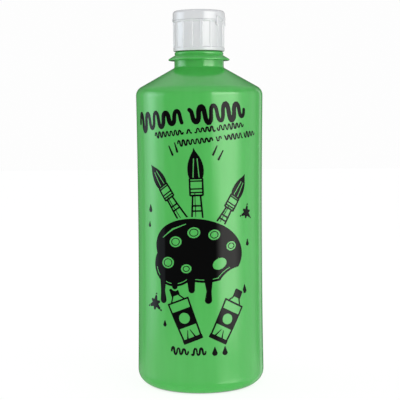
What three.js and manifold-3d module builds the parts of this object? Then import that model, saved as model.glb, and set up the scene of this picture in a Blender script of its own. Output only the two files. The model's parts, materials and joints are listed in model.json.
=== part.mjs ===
// Flip-top squeeze bottle for one litre of liquid school paint.
// Millimetres, +Z up. The origin is on the bottle's axis, in the plane it stands on.
// An azimuth is counted from the front (-Y) towards +X.
import * as THREE from "three";
import { mergeVertices } from "three/addons/utils/BufferGeometryUtils.js";
import Module from "manifold-3d";

const wasm = await Module();
wasm.setup();

// Bottle body
const BASE_RADIUS = 42.15;
const WAIST_RADIUS = 41.1;
const SHOULDER_RADIUS = 41.75;
const BASE_CORNER = 9.4;
const SHOULDER_CORNER = 6.5;
const SHOULDER_SLOPE = THREE.MathUtils.degToRad(29.4);
const WALL = 1.0;
const FLOOR_THICKENING = 1.2;
const PUSH_UP = 3.2;
const PUSH_UP_RADIUS = 21;
const PUSH_UP_DOME = 0.4;
const STANDING_RING_INNER = 26;
const PAINT_LEVEL = 199.8;

// Neck, from the shoulder up to the rim
const NECK_RADIUS = 16.2;
const NECK_WALL = 1.5;
const NECK_FOOT = 209.45;
const FLANGE_BOTTOM = 214.15;
const FLANGE_RADIUS = 20.05;
const FLANGE_EDGE = 0.9;
const BEAD_RADIUS = 16;
const BEAD_GROOVE = 0.4;
const BEAD_ROUND = 1;
const BEAD_BOTTOM = 217.9;
const BEAD_TOP = 219.85;
const FINISH_RADIUS = 13.7;
const FINISH_TOP = 236.9;
const LIP_CHAMFER = 0.5;
const BORE_RADIUS = 11.9;

// Screw thread, right-handed, shared by neck and cap
const PITCH = 4.233;
const THREAD_DEPTH = 1.15;
const THREAD_TURNS = 1.5;
const THREAD_CLEARANCE = 0.35;
const NECK_THREAD_START = 228.2;
const THREAD_EMBED = 0.4;

// Cap and lid
const HEIGHT = 246.4;
const CAP_BOTTOM = 220.15;
const CAP_RADIUS = 16.9;
const PANEL_RADIUS = 16.45;
const FOOT_RING = 2;
const LEDGE_RADIUS = 17;
const RIBS = 16;
const RIB_PHASE = THREE.MathUtils.degToRad(5.7);
const RIB_WIDTH = 1.5;
const RIB_FLANK = 0.25;
const SEAM = 240.1;
const DECK_BOTTOM = 238.2;
const DECK_TOP = 239.8;
const ORIFICE_RADIUS = 2.25;
const NOZZLE_FOOT_RADIUS = 5.4;
const NOZZLE_TIP_RADIUS = 3.9;
const NOZZLE_TOP = 242.9;
const RIM_HEIGHT = 1.8;
const RIM_WALL = 1.2;
const LID_RADIUS = 17.05;
const LID_CORNER = 2;
const LID_WALL = 1.2;
const PIN_TIP = 241;
const PIN_TIP_RADIUS = 1.45;
const PIN_ROOT_RADIUS = 2.3;
const THUMB_LIP = 1;
const THUMB_LIP_HALF_WIDTH = 4.5;
const THUMB_LIP_HEIGHT = 1.8;
const THUMB_SCOOP = 0.9;

// Butterfly hinge
const HINGE_AZIMUTH = THREE.MathUtils.degToRad(66);
const HINGE_RADIUS = 17.1;
const STRAP_RISE = 2.5;
const STRAP_TIP_RISE = 0.5;
const LUG_TOP = 2.5;
const LUG_BOTTOM = -3.7;
const LUG_WIDTH = 1.8;
const HINGE_HALF_WIDTH = 6.9;
const FILM_HALF_WIDTH = 1.2;
const FILM_RISE = 0.7;
const FILM_THICKNESS = 0.7;
const STRAP_RADIUS = 16.1;
const STRAP_THICKNESS = 0.6;
const LUG_PROUD = 0.55;

// Clearance between neighbours, corner treatment and fineness
const GAP = 0.3;
const EDGE = 0.3;
const BODY_SEGMENTS = 48;
const CAP_SEGMENTS = 48;
const PAINT_SEGMENTS = 32;
const CHORD_ERROR = 0.1;

const capBore = FINISH_RADIUS + THREAD_DEPTH + THREAD_CLEARANCE;
const ledgeTop = SEAM - GAP / 2;
const lidBottom = SEAM + GAP / 2;
const lidBore = LID_RADIUS - LID_WALL;

// ---------------------------------------------------------------- tools

// A closed geometry as a manifold solid, without the triangles that a lathe collapses on its axis.
function solidFrom(geometry) {
  const bare = geometry.index ? geometry.toNonIndexed() : geometry.clone();
  bare.deleteAttribute("normal");
  bare.deleteAttribute("uv");
  const merged = mergeVertices(bare, 1e-3);
  const triangles = [];
  for (let i = 0; i < merged.index.count; i += 3) {
    const corners = [0, 1, 2].map((k) => merged.index.getX(i + k));
    if (new Set(corners).size === 3) triangles.push(...corners);
  }
  const mesh = new wasm.Mesh({
    numProp: 3,
    vertProperties: merged.attributes.position.array,
    triVerts: new Uint32Array(triangles),
  });
  return new wasm.Manifold(mesh);
}

function geometryFrom(solid) {
  const { vertProperties, triVerts } = solid.getMesh();
  const geometry = new THREE.BufferGeometry();
  geometry.setAttribute("position", new THREE.BufferAttribute(vertProperties, 3));
  geometry.setIndex(new THREE.BufferAttribute(triVerts, 1));
  geometry.computeVertexNormals();
  return geometry;
}

// The outline through corners [r, z, fillet]: a corner with a fillet becomes an arc tangent to both sides.
function roundedOutline(corners) {
  return corners.flatMap(([r, z, fillet], i) => {
    const corner = new THREE.Vector2(r, z);
    if (!fillet) return [corner];
    const [before, after] = [-1, 1].map((step) => {
      const [x, y] = corners[(i + step + corners.length) % corners.length];
      return new THREE.Vector2(x, y).sub(corner).normalize();
    });
    const half = Math.acos(THREE.MathUtils.clamp(before.dot(after), -1, 1)) / 2;
    const middle = before.clone().add(after).normalize();
    const centre = corner.clone().addScaledVector(middle, fillet / Math.sin(half));
    const first = corner.clone().addScaledVector(before, fillet / Math.tan(half)).sub(centre);
    const turn = (Math.PI - 2 * half) * -Math.sign(before.cross(after));
    const step = 2 * Math.acos(1 - Math.min(1, CHORD_ERROR / fillet));
    const steps = Math.max(1, Math.round(Math.abs(turn) / step));
    return Array.from({ length: steps + 1 }, (_, k) =>
      first.clone().rotateAround(new THREE.Vector2(), (turn * k) / steps).add(centre),
    );
  });
}

// A solid of revolution about +Z. The outline runs anticlockwise in the (r, z) plane; closed joins its ends.
function turned(outline, segments, closed = false) {
  const points = closed ? [...outline, outline[0]] : outline;
  return solidFrom(new THREE.LatheGeometry(points, segments).rotateX(Math.PI / 2));
}

// A flat outline of [sideways, upward] points at an azimuth, pushed outwards from one radius to another.
function prismAt(azimuth, height, outline, innerRadius, outerRadius) {
  const shape = new THREE.Shape(outline.map(([x, y]) => new THREE.Vector2(x, y)));
  const outward = new THREE.Vector3(Math.sin(azimuth), -Math.cos(azimuth), 0);
  const sideways = new THREE.Vector3(Math.cos(azimuth), Math.sin(azimuth), 0);
  const up = new THREE.Vector3(0, 0, 1);
  const place = new THREE.Matrix4()
    .makeBasis(sideways, up, outward)
    .setPosition(outward.clone().multiplyScalar(innerRadius).setZ(height));
  const depth = outerRadius - innerRadius;
  return solidFrom(new THREE.ExtrudeGeometry(shape, { depth, bevelEnabled: false }).applyMatrix4(place));
}

// A plain ring between two radii and two heights.
function ring(innerRadius, outerRadius, bottom, top) {
  const outline = roundedOutline([
    [innerRadius, bottom],
    [outerRadius, bottom],
    [outerRadius, top],
    [innerRadius, top],
  ]);
  return turned(outline, CAP_SEGMENTS, true);
}

// A thread ridge: a straight trapezoid bar bent on to the helix, sinking into its wall at both ends.
// rootRadius is the wall it grows from and crestRadius its edge, inside or outside the wall.
function threadRidge({ rootRadius, crestRadius, rootWidth, crestWidth, startAngle, startHeight }) {
  const growth = Math.sign(crestRadius - rootRadius);
  const foot = rootRadius - growth * THREAD_EMBED;
  const corners = [
    [foot, -rootWidth / 2],
    [crestRadius, -crestWidth / 2],
    [crestRadius, crestWidth / 2],
    [foot, rootWidth / 2],
  ];
  const shape = new THREE.Shape(corners.map(([x, y]) => new THREE.Vector2(x, y)));
  const steps = Math.round(THREAD_TURNS * CAP_SEGMENTS);
  const bar = new THREE.ExtrudeGeometry(shape, { depth: THREAD_TURNS, steps, bevelEnabled: false });
  const position = bar.attributes.position;
  const fadeTurns = 0.12;
  const buriedShare = 0.2;
  for (let i = 0; i < position.count; i++) {
    const turns = position.getZ(i);
    const fade = Math.min(1, buriedShare + Math.min(turns, THREAD_TURNS - turns) / fadeTurns);
    const radius = foot + (position.getX(i) - foot) * fade;
    const angle = startAngle + turns * 2 * Math.PI;
    const height = startHeight + turns * PITCH - position.getY(i);
    position.setXYZ(i, radius * Math.cos(angle), radius * Math.sin(angle), height);
  }
  return solidFrom(bar);
}

// ---------------------------------------------------------------- bottle

// Height of the outer shoulder cone at a radius.
const shoulderHeight = (radius) => NECK_FOOT - (radius - NECK_RADIUS) * Math.tan(SHOULDER_SLOPE);

// The side wall between its two sharp corners, drawn in by inset: a parabola with a slim waist.
function sideWall(bottom, top, inset) {
  const lower = new THREE.Vector2(BASE_RADIUS - inset, bottom);
  const upper = new THREE.Vector2(SHOULDER_RADIUS - inset, top);
  const waist = new THREE.Vector2(WAIST_RADIUS - inset, (bottom + top) / 2);
  const pull = waist.clone().multiplyScalar(2).addScaledVector(lower, -0.5).addScaledVector(upper, -0.5);
  return new THREE.QuadraticBezierCurve(lower, pull, upper).getPoints(6).map((point) => [point.x, point.y]);
}

// Body corners from the axis at the base to the foot of the neck, drawn in by inset from the outer skin.
function bodyCorners(inset) {
  const floor = inset * FLOOR_THICKENING;
  const crown = shoulderHeight(SHOULDER_RADIUS - inset) - inset / Math.cos(SHOULDER_SLOPE);
  const [foot, ...rest] = sideWall(floor, crown, inset);
  const shoulder = rest.pop();
  return [
    [0, PUSH_UP + PUSH_UP_DOME + floor],
    [PUSH_UP_RADIUS, PUSH_UP + floor, 3],
    [STANDING_RING_INNER + inset, floor, 1.5],
    [...foot, BASE_CORNER - inset],
    ...rest,
    [...shoulder, SHOULDER_CORNER - inset],
  ];
}

function bottleShell() {
  const innerNeck = NECK_RADIUS - NECK_WALL;
  const innerFoot = shoulderHeight(innerNeck) - WALL / Math.cos(SHOULDER_SLOPE);
  const outer = [
    ...bodyCorners(0),
    [NECK_RADIUS, NECK_FOOT, 0.8],
    [NECK_RADIUS, FLANGE_BOTTOM],
    [FLANGE_RADIUS, FLANGE_BOTTOM, 0.3],
    [FLANGE_RADIUS, FLANGE_BOTTOM + FLANGE_EDGE, 0.3],
    [BEAD_RADIUS - BEAD_GROOVE, BEAD_BOTTOM],
    [BEAD_RADIUS, BEAD_BOTTOM + BEAD_GROOVE],
    [BEAD_RADIUS, BEAD_TOP, BEAD_ROUND],
    [FINISH_RADIUS, BEAD_TOP],
    [FINISH_RADIUS, FINISH_TOP, LIP_CHAMFER],
    [BORE_RADIUS, FINISH_TOP, LIP_CHAMFER],
  ];
  const inner = [
    [BORE_RADIUS, BEAD_BOTTOM, 3],
    [innerNeck, FLANGE_BOTTOM, 2],
    [innerNeck, innerFoot],
    ...bodyCorners(WALL).reverse(),
  ];
  const thread = threadRidge({
    rootRadius: FINISH_RADIUS,
    crestRadius: FINISH_RADIUS + THREAD_DEPTH,
    rootWidth: 2.6,
    crestWidth: 1.4,
    startAngle: 0,
    startHeight: NECK_THREAD_START,
  });
  return turned(roundedOutline([...outer, ...inner]), BODY_SEGMENTS).add(thread);
}

function paintFill() {
  const corners = bodyCorners(WALL + GAP);
  const [crownRadius, crownHeight] = corners.at(-1);
  const levelRadius = crownRadius - (PAINT_LEVEL - crownHeight) / Math.tan(SHOULDER_SLOPE);
  return turned(roundedOutline([...corners, [levelRadius, PAINT_LEVEL], [0, PAINT_LEVEL]]), PAINT_SEGMENTS);
}

// ---------------------------------------------------------------- closure

function sealingLiner() {
  const play = 0.2;
  const overhang = 1.5;
  return ring(BORE_RADIUS - overhang, capBore - GAP, FINISH_TOP + play, DECK_BOTTOM - play);
}

// One upright grip rib of the skirt.
function gripRib(index) {
  const foot = PANEL_RADIUS - EDGE;
  const bottom = CAP_BOTTOM + FOOT_RING / 2;
  const top = ledgeTop - 0.4;
  const section = new THREE.Shape([
    new THREE.Vector2(-RIB_WIDTH / 2 - RIB_FLANK, foot),
    new THREE.Vector2(RIB_WIDTH / 2 + RIB_FLANK, foot),
    new THREE.Vector2(RIB_WIDTH / 2 - RIB_FLANK, CAP_RADIUS),
    new THREE.Vector2(-RIB_WIDTH / 2 + RIB_FLANK, CAP_RADIUS),
  ]);
  const rib = new THREE.ExtrudeGeometry(section, { depth: top - bottom, bevelEnabled: false });
  rib.translate(0, 0, bottom);
  return solidFrom(rib.rotateZ(RIB_PHASE + (index * 2 * Math.PI) / RIBS));
}

function capBase() {
  const rimRadius = lidBore - GAP;
  const body = turned(
    roundedOutline([
      [capBore, CAP_BOTTOM, EDGE],
      [CAP_RADIUS, CAP_BOTTOM, EDGE],
      [CAP_RADIUS, CAP_BOTTOM + FOOT_RING],
      [PANEL_RADIUS, CAP_BOTTOM + FOOT_RING + EDGE],
      [PANEL_RADIUS, ledgeTop - 1.4],
      [LEDGE_RADIUS, ledgeTop - 0.5],
      [LEDGE_RADIUS, ledgeTop],
      [rimRadius, ledgeTop],
      [rimRadius, ledgeTop + RIM_HEIGHT, EDGE],
      [rimRadius - RIM_WALL, ledgeTop + RIM_HEIGHT, EDGE],
      [rimRadius - RIM_WALL, DECK_TOP],
      [NOZZLE_FOOT_RADIUS, DECK_TOP, 0.8],
      [NOZZLE_TIP_RADIUS, NOZZLE_TOP, 0.5],
      [ORIFICE_RADIUS, NOZZLE_TOP],
      [ORIFICE_RADIUS, DECK_BOTTOM],
      [capBore, DECK_BOTTOM],
    ]),
    CAP_SEGMENTS,
    true,
  );
  const thread = threadRidge({
    rootRadius: capBore,
    crestRadius: capBore - THREAD_DEPTH,
    rootWidth: 2.3,
    crestWidth: 1.1,
    startAngle: -Math.PI,
    startHeight: NECK_THREAD_START - PITCH,
  });
  const ribs = Array.from({ length: RIBS }, (_, index) => gripRib(index));
  const fluted = ribs.reduce((solid, rib) => solid.add(rib), body.add(thread));
  return fluted.subtract(thumbScoop()).subtract(hingeWindow());
}

// The hollow under the lid's lip, opposite the hinge, where a thumb lifts the lid.
function thumbScoop() {
  const [halfWidth, bulge, halfHeight] = [5.5, 4, 4.2];
  const ball = new THREE.SphereGeometry(1, 24, 16).scale(halfWidth, bulge, halfHeight);
  ball.translate(0, -(LEDGE_RADIUS + bulge - THUMB_SCOOP), ledgeTop - 0.6);
  return solidFrom(ball.rotateZ(HINGE_AZIMUTH + Math.PI));
}

function flipLid() {
  const underside = HEIGHT - LID_WALL;
  const body = turned(
    roundedOutline([
      [0, PIN_TIP],
      [PIN_TIP_RADIUS, PIN_TIP],
      [PIN_ROOT_RADIUS, underside],
      [lidBore, underside, 0.8],
      [lidBore, lidBottom],
      [LID_RADIUS, lidBottom],
      [LID_RADIUS, HEIGHT, LID_CORNER],
      [0, HEIGHT],
    ]),
    CAP_SEGMENTS,
  );
  return body.add(thumbLip()).subtract(hingeWindow());
}

// The short ledge on the lid's lower edge that a thumb pushes up.
function thumbLip() {
  const topHalfWidth = THUMB_LIP_HALF_WIDTH - 1;
  const outline = [
    [-THUMB_LIP_HALF_WIDTH, 0],
    [THUMB_LIP_HALF_WIDTH, 0],
    [topHalfWidth, THUMB_LIP_HEIGHT],
    [-topHalfWidth, THUMB_LIP_HEIGHT],
  ];
  const band = ring(LID_RADIUS - LID_WALL / 2, LID_RADIUS + THUMB_LIP, lidBottom, lidBottom + THUMB_LIP_HEIGHT);
  return band.intersect(prismAt(HINGE_AZIMUTH + Math.PI, lidBottom, outline, lidBore - 1, LID_RADIUS + 2));
}

// ---------------------------------------------------------------- hinge

// The outline of one triangular hinge panel, on the side (-1 or 1), grown by a clearance.
function strapPanelOutline(side, clearance) {
  const tip = FILM_HALF_WIDTH + GAP - clearance;
  const root = HINGE_HALF_WIDTH - LUG_WIDTH / 2 + clearance;
  const outline = [
    [side * tip, -STRAP_TIP_RISE - clearance],
    [side * root, -STRAP_RISE - clearance],
    [side * root, STRAP_RISE + clearance],
    [side * tip, STRAP_TIP_RISE + clearance],
  ];
  return side > 0 ? outline : outline.reverse();
}

// The outline of the stiff lug at a panel's outer end: a round-ended bar.
function lugOutline(side, clearance) {
  const radius = LUG_WIDTH / 2 + clearance;
  const centre = side * (HINGE_HALF_WIDTH - LUG_WIDTH / 2);
  const lower = LUG_BOTTOM + LUG_WIDTH / 2;
  const upper = LUG_TOP - LUG_WIDTH / 2;
  const bar = new THREE.Path();
  bar.absarc(centre, lower, radius, Math.PI, 2 * Math.PI);
  bar.absarc(centre, upper, radius, 0, Math.PI);
  return bar.getSpacedPoints(20).slice(0, -1).map((point) => [point.x, point.y]);
}

function filmOutline(clearance) {
  const half = FILM_HALF_WIDTH + clearance;
  const rise = FILM_RISE + clearance;
  return [
    [-half, -rise],
    [half, -rise],
    [half, rise],
    [-half, rise],
  ];
}

// The part of a ring round the cap that lies inside an outline at the hinge.
function hingeSheet(outline, innerRadius, outerRadius) {
  const reach = 6;
  const sheet = ring(innerRadius, outerRadius, SEAM - reach, SEAM + reach);
  return sheet.intersect(prismAt(HINGE_AZIMUTH, SEAM, outline, innerRadius / 2, outerRadius + reach));
}

// What the hinge clears out of cap and lid, with a gap all round its own pieces.
function hingeWindow() {
  const floor = STRAP_RADIUS - GAP;
  const reach = LID_RADIUS + 2;
  const outlines = [filmOutline(GAP)];
  for (const side of [-1, 1]) outlines.push(strapPanelOutline(side, GAP), lugOutline(side, GAP));
  return outlines.map((outline) => hingeSheet(outline, floor, reach)).reduce((all, sheet) => all.add(sheet));
}

function hingeStrap(side) {
  const panel = hingeSheet(strapPanelOutline(side, 0), STRAP_RADIUS, STRAP_RADIUS + STRAP_THICKNESS);
  return panel.add(hingeSheet(lugOutline(side, 0), STRAP_RADIUS, LID_RADIUS + LUG_PROUD));
}

function hingeFilm() {
  return hingeSheet(filmOutline(0), HINGE_RADIUS - FILM_THICKNESS, HINGE_RADIUS);
}

// ---------------------------------------------------------------- assembly

const greenPlastic = { color: 0x4eb154, roughness: 0.18, metalness: 0 };
const whitePlastic = { color: 0xe4e6e6, roughness: 0.3, metalness: 0 };
const foam = { color: 0xf1efe8, roughness: 0.75, metalness: 0 };
const paint = { color: 0x2f9c40, roughness: 0.35, metalness: 0 };

function named(name, solid, look) {
  const mesh = new THREE.Mesh(geometryFrom(solid), new THREE.MeshStandardMaterial(look));
  mesh.name = name;
  return mesh;
}

const bottle = new THREE.Group();
bottle.add(named("bottle_shell", bottleShell(), greenPlastic));
bottle.add(named("paint_fill", paintFill(), paint));

const closure = new THREE.Group();
closure.add(named("sealing_liner", sealingLiner(), foam));
closure.add(named("cap_base", capBase(), whitePlastic));
closure.add(named("flip_lid", flipLid(), whitePlastic));
closure.add(named("hinge_film", hingeFilm(), whitePlastic));
closure.add(named("hinge_strap_left", hingeStrap(-1), whitePlastic));
closure.add(named("hinge_strap_right", hingeStrap(1), whitePlastic));

const group = new THREE.Group();
group.add(bottle, closure);

export default group;
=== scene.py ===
"""A flip-top squeeze bottle of green school paint: the looks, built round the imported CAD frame."""

import json
import math

import bpy
import numpy as np
from mathutils import Matrix, Vector


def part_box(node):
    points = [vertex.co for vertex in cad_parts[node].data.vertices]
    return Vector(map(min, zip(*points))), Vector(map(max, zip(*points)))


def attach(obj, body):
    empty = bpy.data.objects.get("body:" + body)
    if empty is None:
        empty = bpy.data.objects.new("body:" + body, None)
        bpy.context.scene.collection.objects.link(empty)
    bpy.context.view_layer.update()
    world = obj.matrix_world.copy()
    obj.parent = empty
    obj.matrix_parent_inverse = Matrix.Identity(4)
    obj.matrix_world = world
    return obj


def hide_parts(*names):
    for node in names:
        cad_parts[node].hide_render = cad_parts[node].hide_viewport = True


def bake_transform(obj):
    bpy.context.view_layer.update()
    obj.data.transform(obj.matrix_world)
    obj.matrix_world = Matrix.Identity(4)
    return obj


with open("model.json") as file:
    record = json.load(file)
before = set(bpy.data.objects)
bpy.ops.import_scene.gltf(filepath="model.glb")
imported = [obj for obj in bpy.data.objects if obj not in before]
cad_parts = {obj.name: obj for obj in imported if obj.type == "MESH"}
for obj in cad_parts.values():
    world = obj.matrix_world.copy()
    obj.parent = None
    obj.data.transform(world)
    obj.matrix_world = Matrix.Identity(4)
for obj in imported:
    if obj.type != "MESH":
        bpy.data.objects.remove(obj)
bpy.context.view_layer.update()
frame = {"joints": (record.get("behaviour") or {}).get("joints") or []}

MM = 0.001
TURN = 2 * math.pi
CAMERA_PITCH = math.radians(4.3)

# ---------------- sizes from the frame, in mm


def low_mm(node):
    return [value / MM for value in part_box(node)[0]]


def high_mm(node):
    return [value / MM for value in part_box(node)[1]]


def joint(name):
    return next(j for j in frame["joints"] if j["name"] == name)


FINISH_TOP = high_mm("bottle_shell")[2]
BODY_MAX = high_mm("bottle_shell")[0]
CAP_BOTTOM = low_mm("cap_base")[2]
NOZZLE_TOP = high_mm("cap_base")[2]
LEDGE_RADIUS = high_mm("cap_base")[1]
LID_TOP = high_mm("flip_lid")[2]
LID_RADIUS = high_mm("flip_lid")[1]
LID_BOTTOM = low_mm("flip_lid")[2]
LINER_LOW = low_mm("sealing_liner")[2]
LINER_HIGH = high_mm("sealing_liner")[2]
LINER_RADIUS = high_mm("sealing_liner")[0]
PAINT_LEVEL = high_mm("paint_fill")[2]
HINGE = joint("lid_flip")
SEAM = HINGE["pos_m"][2] / MM
HINGE_RADIUS = math.hypot(HINGE["pos_m"][0], HINGE["pos_m"][1]) / MM
HINGE_AZIMUTH = math.atan2(HINGE["pos_m"][0], -HINGE["pos_m"][1])
PITCH = joint("cap_lift")["range_m"][1] / MM / (joint("cap_turn")["range_deg"][1] / 360)

# Bottle. The side wall is a parabola with a slim waist. The radii of its ends are those of the
# sharp corners, before they are rounded.
BASE_RADIUS = BODY_MAX + 0.16
WAIST_RADIUS = BODY_MAX - 0.89
SHOULDER_RADIUS = BODY_MAX - 0.24
BASE_CORNER = 9.4
SHOULDER_CORNER = 6.5
SHOULDER_SLOPE = math.radians(29.4)
WALL = 1.0
FLOOR_THICKENING = 1.2
PUSH_UP = 3.2
PUSH_UP_RADIUS = 21
PUSH_UP_DOME = 0.4
STANDING_RING_INNER = 26
NECK_RADIUS = 16.2
NECK_WALL = 1.5
NECK_FOOT = 209.45
FLANGE_BOTTOM = 214.15
FLANGE_RADIUS = 20.05
FLANGE_EDGE = 0.9
BEAD_RADIUS = 16.0
BEAD_BOTTOM = CAP_BOTTOM - 2.25
BEAD_TOP = CAP_BOTTOM - 0.3
FINISH_RADIUS = 13.7
BORE_RADIUS = 11.9
THREAD_DEPTH = 1.15
THREAD_HALF_WIDTH = 1.35
THREAD_FLANK = 0.75
THREAD_TURNS = 1.5
THREAD_RUNOUT = 0.12
PARTING_LINE = 0.07
NECK_THREAD_START = FINISH_TOP - 8.7

# Closure
CAP_RADIUS = 16.9
PANEL_RADIUS = 16.45
CAP_BORE = 15.2
FOOT_RING = 2.0
RIBS = 16
RIB_PHASE = math.radians(5.7)
RIB_WIDTH = 1.5
RIB_FLANK = 0.5
RIB_DIP = CAP_RADIUS - PANEL_RADIUS
PANEL_FLATNESS = 0.1
CAP_TAPER = 0.1
DECK_BOTTOM = LINER_HIGH + 0.2
DECK_TOP = SEAM - 0.3
RIM_HEIGHT = 1.8
RIM_WALL = 1.2
NOZZLE_FOOT_RADIUS = 5.4
NOZZLE_TIP_RADIUS = 4.1
ORIFICE_RADIUS = 2.25
LINER_OVERHANG = 1.5
LID_WALL = 1.2
LID_CORNER = 2.0
PIN_TIP = NOZZLE_TOP - 1.9
PIN_TIP_RADIUS = 1.45
PIN_ROOT_RADIUS = 2.3
GATE_MARK_RADIUS = 1.1
GATE_MARK_DEPTH = 0.14
THUMB_LIP = 0.95
THUMB_LIP_HEIGHT = 1.9
THUMB_LIP_HALF_WIDTH = 4.6
THUMB_SCOOP = 0.85
THUMB_SCOOP_HALF_WIDTH = 5.4
THUMB_SCOOP_HALF_HEIGHT = 4.2
SEAM_GAP = 0.1
STRAP_FLOOR = 16.1
STRAP_THICKNESS = 0.55
STRAP_RISE = 2.5
STRAP_TIP_RISE = 0.5
LUG_TOP = 2.5
LUG_BOTTOM = -3.7
LUG_WIDTH = 1.8
LUG_PROUD = 0.5
LUG_MIDDLE = 6.0
FILM_HALF_WIDTH = 1.2
HINGE_CLEARANCE = 0.03

# Print
INK_PROUD = 0.06
INK_SUNK = 0.05


def shoulder_height(radius):
    """Height of the cone that the shoulder follows."""
    return NECK_FOOT - (radius - NECK_RADIUS) * math.tan(SHOULDER_SLOPE)


SHOULDER_CROWN = shoulder_height(SHOULDER_RADIUS)


def smooth(value):
    """0 below 0, 1 above 1 and a soft step between, for numbers and arrays."""
    value = np.clip(value, 0.0, 1.0)
    return value * value * (3 - 2 * value)


def body_radius(height):
    """Outer radius of the side wall at a height."""
    t = np.asarray(height) / SHOULDER_CROWN
    pull = 2 * WAIST_RADIUS - (BASE_RADIUS + SHOULDER_RADIUS) / 2
    return (1 - t) ** 2 * BASE_RADIUS + 2 * t * (1 - t) * pull + t ** 2 * SHOULDER_RADIUS


# ---------------- outlines


def rounded(corners, step=math.radians(7)):
    """Outline through corners (r, z, fillet), each fillet an arc tangent to both of its sides."""
    outline = []
    for i, (r, z, *rest) in enumerate(corners):
        corner = np.array((r, z), float)
        fillet = rest[0] if rest else 0
        if not fillet:
            outline.append(corner)
            continue
        before = np.array(corners[i - 1][:2], float) - corner
        after = np.array(corners[(i + 1) % len(corners)][:2], float) - corner
        before /= np.linalg.norm(before)
        after /= np.linalg.norm(after)
        half = math.acos(float(np.clip(before @ after, -1, 1))) / 2
        middle = (before + after) / np.linalg.norm(before + after)
        centre = corner + middle * fillet / math.sin(half)
        arm = corner + before * fillet / math.tan(half) - centre
        turn = -(math.pi - 2 * half) * np.sign(before[0] * after[1] - before[1] * after[0])
        count = max(2, round(abs(turn) / step))
        for k in range(count + 1):
            c, s = math.cos(turn * k / count), math.sin(turn * k / count)
            outline.append(centre + np.array((arm[0] * c - arm[1] * s, arm[0] * s + arm[1] * c)))
    return np.array(outline)


def refined(outline, spacing, closed=False):
    """The outline with its long sides cut into pieces of about spacing(r, z) mm."""
    points = np.vstack([outline, outline[:1]]) if closed else outline
    result = []
    for a, b in zip(points[:-1], points[1:]):
        length = np.linalg.norm(b - a)
        count = max(1, math.ceil(length / spacing(*((a + b) / 2)) - 1e-6))
        result += [a + (b - a) * k / count for k in range(count)]
    return np.array(result if closed else result + [points[-1]])


# ---------------- mesh makers


def piece(name, vertices, faces, body, material, stands_for=()):
    """A smooth-shaded closed mesh, from vertices in mm, that rides on a CAD body."""
    mesh = bpy.data.meshes.new(name)
    mesh.from_pydata((np.asarray(vertices) * MM).tolist(), [], faces)
    mesh.validate()
    mesh.polygons.foreach_set("use_smooth", [True] * len(mesh.polygons))
    obj = bpy.data.objects.new(name, mesh)
    bpy.context.scene.collection.objects.link(obj)
    obj.data.materials.append(material)
    if body:
        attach(obj, body)
    if stands_for:
        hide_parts(*stands_for)
    return obj


def revolved(outline, azimuths, shift=None, closed=False):
    """Vertices and faces of a lathe about +Z, its outline anticlockwise in (r, z).

    shift(azimuth, r, z) gives changes of r and z as arrays. Points on the axis become one vertex.
    """
    rows = len(outline)
    columns = len(azimuths)
    r = np.repeat(outline[:, :1], columns, 1)
    z = np.repeat(outline[:, 1:], columns, 1)
    angle = np.repeat(azimuths[None, :], rows, 0)
    if shift is not None:
        dr, dz = shift(angle, r, z)
        r, z = r + dr * (outline[:, :1] > 1e-6), z + dz
    vertices = np.stack([r * np.sin(angle), -r * np.cos(angle), z], -1).reshape(-1, 3)
    faces = []
    on_axis = outline[:, 0] <= 1e-6
    index = np.arange(rows * columns).reshape(rows, columns)
    for i in np.where(on_axis)[0]:
        index[i, :] = index[i, 0]
    for i in range(rows if closed else rows - 1):
        here, there = index[i], index[(i + 1) % rows]
        for j in range(columns):
            k = (j + 1) % columns
            face = [here[j], here[k], there[k], there[j]]
            faces.append(tuple(dict.fromkeys(int(v) for v in face)))
    used = sorted({v for face in faces for v in face})
    place = {v: i for i, v in enumerate(used)}
    return vertices[used], [tuple(place[v] for v in face) for face in faces]


def even_azimuths(count, extra=()):
    """Evenly spread azimuths with extra ones mixed in, none closer than a tenth of a step."""
    angles = sorted([TURN * k / count for k in range(count)] + [a % TURN for a in extra])
    kept = [angles[0]]
    for angle in angles[1:]:
        if angle - kept[-1] > TURN / count / 10:
            kept.append(angle)
    return np.array(kept)


def helix_ridge(angle, height, start_angle, start_height):
    """Height share, 0 to 1, of a thread ridge at a polar angle (from +X) and a height, as arrays."""
    share = np.zeros_like(height)
    for lap in range(-1, 4):
        turns = (angle - start_angle) / TURN + lap
        centre = start_height + turns * PITCH
        flank = smooth((THREAD_HALF_WIDTH - np.abs(height - centre)) / THREAD_FLANK)
        ends = smooth(np.minimum(turns, THREAD_TURNS - turns) / THREAD_RUNOUT)
        share = np.maximum(share, flank * ends * ((turns >= 0) & (turns <= THREAD_TURNS)))
    return share


# ---------------- materials


def nodes_of(name):
    """A new material, its node tree and its shader."""
    material = bpy.data.materials.new(name)
    material.use_nodes = True
    tree = material.node_tree
    shader = tree.nodes["Principled BSDF"]
    return material, tree, shader


def adjust(node, **values):
    """Sets a shader node's properties and inputs by name. Another node's output is linked."""
    for key, value in values.items():
        name = key.replace("_", " ")
        if isinstance(value, bpy.types.NodeSocket):
            node.id_data.links.new(value, node.inputs[name])
        elif hasattr(node, key):
            setattr(node, key, value)
        else:
            node.inputs[name].default_value = value
    return node


def add(tree, kind, **values):
    """A new shader node with its properties and inputs set by name."""
    return adjust(tree.nodes.new(kind), **values)


def object_space(tree, scale=(1, 1, 1)):
    """Object coordinates in metres, stretched by scale."""
    place = add(tree, "ShaderNodeTexCoord").outputs["Object"]
    return add(tree, "ShaderNodeMapping", Vector=place, Scale=scale).outputs["Vector"]


def noise(tree, vector, scale, detail=3.0, roughness=0.5):
    node = add(tree, "ShaderNodeTexNoise", Vector=vector, Scale=scale, Detail=detail, Roughness=roughness)
    return node.outputs["Fac"]


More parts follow.
